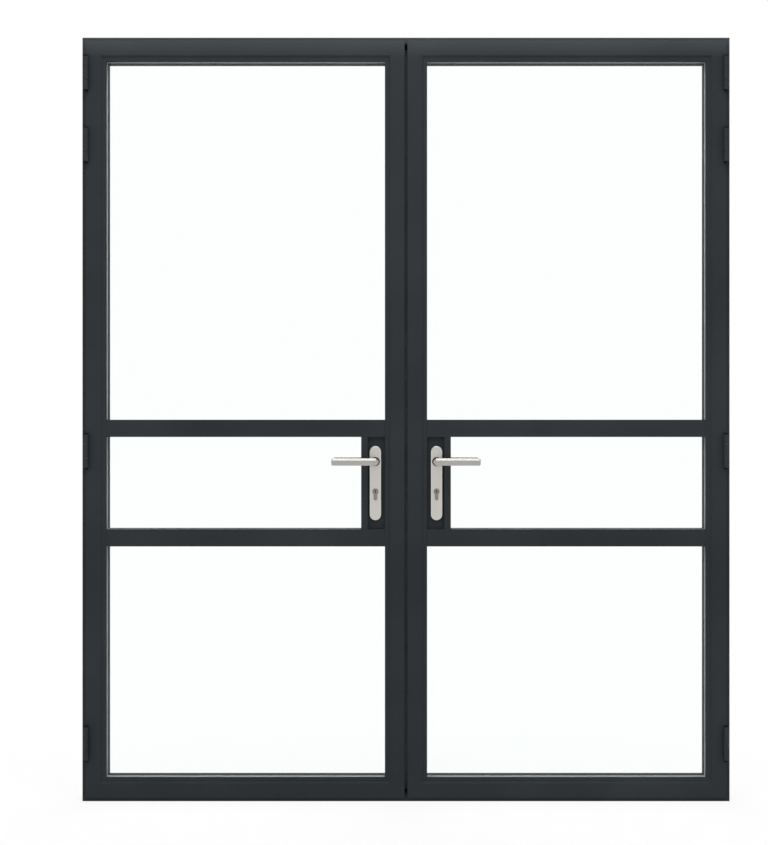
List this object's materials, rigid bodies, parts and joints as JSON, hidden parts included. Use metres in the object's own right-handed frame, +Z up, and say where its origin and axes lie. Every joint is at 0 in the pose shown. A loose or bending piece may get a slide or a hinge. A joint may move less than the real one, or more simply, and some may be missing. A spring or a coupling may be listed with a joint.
{
  "type": "glazed double door with frame",
  "caption": "Glazed aluminium door leaves meeting in a slim frame, with lock rails, lever handles, key cylinders, surface hinges, latch, deadbolt and shoot bolts.",
  "frame": {"origin": "middle of the sill's underside, halfway through the frame's depth", "axes": "+Z up, +X to the right as seen from outside, +Y through the wall to the inside; the leaves open towards -Y"},
  "size_m": [1.78, 0.16, 2.1],
  "materials": {
    "coated_aluminium": "fine powder coat, anthracite grey",
    "mill_aluminium": "plain",
    "satin_steel": "satin stainless steel",
    "plain_steel": "zinc plated",
    "nickel_brass": "matt nickel plated",
    "polyamide": "glass-filled polyamide",
    "seal_rubber": "matt black",
    "clear_glass": "clear float glass"
  },
  "bodies": {
    "frame": {"frame_left_jamb": "coated_aluminium", "frame_right_jamb": "coated_aluminium", "frame_head": "coated_aluminium", "frame_sill": "coated_aluminium", "frame_thermal_breaks": "polyamide", "frame_stop_seal": "seal_rubber", "frame_corner_cleats": "mill_aluminium", "frame_hinge_halves": "coated_aluminium", "hinge_pins": "plain_steel", "bolt_keeps": "satin_steel"},
    "left_leaf": {"left_hinge_stile": "coated_aluminium", "left_meeting_stile": "coated_aluminium", "left_top_rail": "coated_aluminium", "left_bottom_rail": "coated_aluminium", "left_mid_rails": "coated_aluminium", "left_lock_mullion": "coated_aluminium", "left_lock_panel": "coated_aluminium", "left_thermal_breaks": "polyamide", "left_glass_panes": "clear_glass", "left_glass_spacers": "mill_aluminium", "left_glazing_beads": "coated_aluminium", "left_glazing_gaskets": "seal_rubber", "left_leaf_seals": "seal_rubber", "left_hinge_halves": "coated_aluminium", "left_lock_case": "plain_steel", "left_backplates": "satin_steel", "left_cylinder_body": "nickel_brass"},
    "right_leaf": {"right_hinge_stile": "coated_aluminium", "right_meeting_stile": "coated_aluminium", "right_top_rail": "coated_aluminium", "right_bottom_rail": "coated_aluminium", "right_mid_rails": "coated_aluminium", "right_lock_mullion": "coated_aluminium", "right_lock_panel": "coated_aluminium", "right_thermal_breaks": "polyamide", "right_glass_panes": "clear_glass", "right_glass_spacers": "mill_aluminium", "right_glazing_beads": "coated_aluminium", "right_glazing_gaskets": "seal_rubber", "right_leaf_seals": "seal_rubber", "right_hinge_halves": "coated_aluminium", "right_lock_case": "plain_steel", "right_backplates": "satin_steel", "right_cylinder_body": "nickel_brass"},
    "left_lever": {"left_levers": "satin_steel"},
    "right_lever": {"right_levers": "satin_steel"},
    "left_plug": {"left_cylinder_plug": "nickel_brass"},
    "right_plug": {"right_cylinder_plug": "nickel_brass"},
    "left_upper_rod": {"left_top_bolt": "plain_steel"},
    "left_lower_rod": {"left_bottom_bolt": "plain_steel"},
    "right_latch_bolt": {"right_latch": "plain_steel"},
    "right_dead_bolt": {"right_deadbolt": "plain_steel"}
  },
  "joints": [
    {"name": "left_leaf_swing", "type": "hinge", "parent": "frame", "child": "left_leaf", "pos_m": [-0.878, -0.0498, 1.05], "axis": [0, 0, -1], "range_deg": [0, 110]},
    {"name": "right_leaf_swing", "type": "hinge", "parent": "frame", "child": "right_leaf", "pos_m": [0.878, -0.0498, 1.05], "axis": [0, 0, 1], "range_deg": [0, 110]},
    {"name": "left_lever_turn", "type": "hinge", "parent": "left_leaf", "child": "left_lever", "pos_m": [-0.0842, -0.011, 0.934], "axis": [0, 1, 0], "range_deg": [-35, 45], "stiffness_Nm_per_rad": 10, "springref_deg": 1.6},
    {"name": "right_lever_turn", "type": "hinge", "parent": "right_leaf", "child": "right_lever", "pos_m": [0.0842, -0.011, 0.934], "axis": [0, -1, 0], "range_deg": [-35, 45], "stiffness_Nm_per_rad": 10, "springref_deg": 1.42},
    {"name": "left_plug_turn", "type": "hinge", "parent": "left_leaf", "child": "left_plug", "pos_m": [-0.0842, -0.011, 0.852], "axis": [0, 1, 0], "range_deg": [0, 360]},
    {"name": "right_plug_turn", "type": "hinge", "parent": "right_leaf", "child": "right_plug", "pos_m": [0.0842, -0.011, 0.852], "axis": [0, 1, 0], "range_deg": [0, 360]},
    {"name": "left_top_bolt_slide", "type": "slide", "parent": "left_leaf", "child": "left_upper_rod", "axis": [0, 0, 1], "range_m": [-0.0145, 0.0185]},
    {"name": "left_bottom_bolt_slide", "type": "slide", "parent": "left_leaf", "child": "left_lower_rod", "axis": [0, 0, -1], "range_m": [-0.0145, 0.0185]},
    {"name": "right_latch_slide", "type": "slide", "parent": "right_leaf", "child": "right_latch_bolt", "axis": [-1, 0, 0], "range_m": [-0.0095, 0.0125]},
    {"name": "right_deadbolt_slide", "type": "slide", "parent": "right_leaf", "child": "right_dead_bolt", "axis": [-1, 0, 0], "range_m": [0, 0.0205]}
  ],
  "couplings": [
    {"joint": "left_top_bolt_slide", "follows": "left_lever_turn", "m_per_rad": 0.0229},
    {"joint": "left_bottom_bolt_slide", "follows": "left_lever_turn", "m_per_rad": 0.0229},
    {"joint": "right_latch_slide", "follows": "right_lever_turn", "m_per_rad": 0.0153},
    {"joint": "right_deadbolt_slide", "follows": "right_plug_turn", "m_per_rad": 0.0031831}
  ]
}
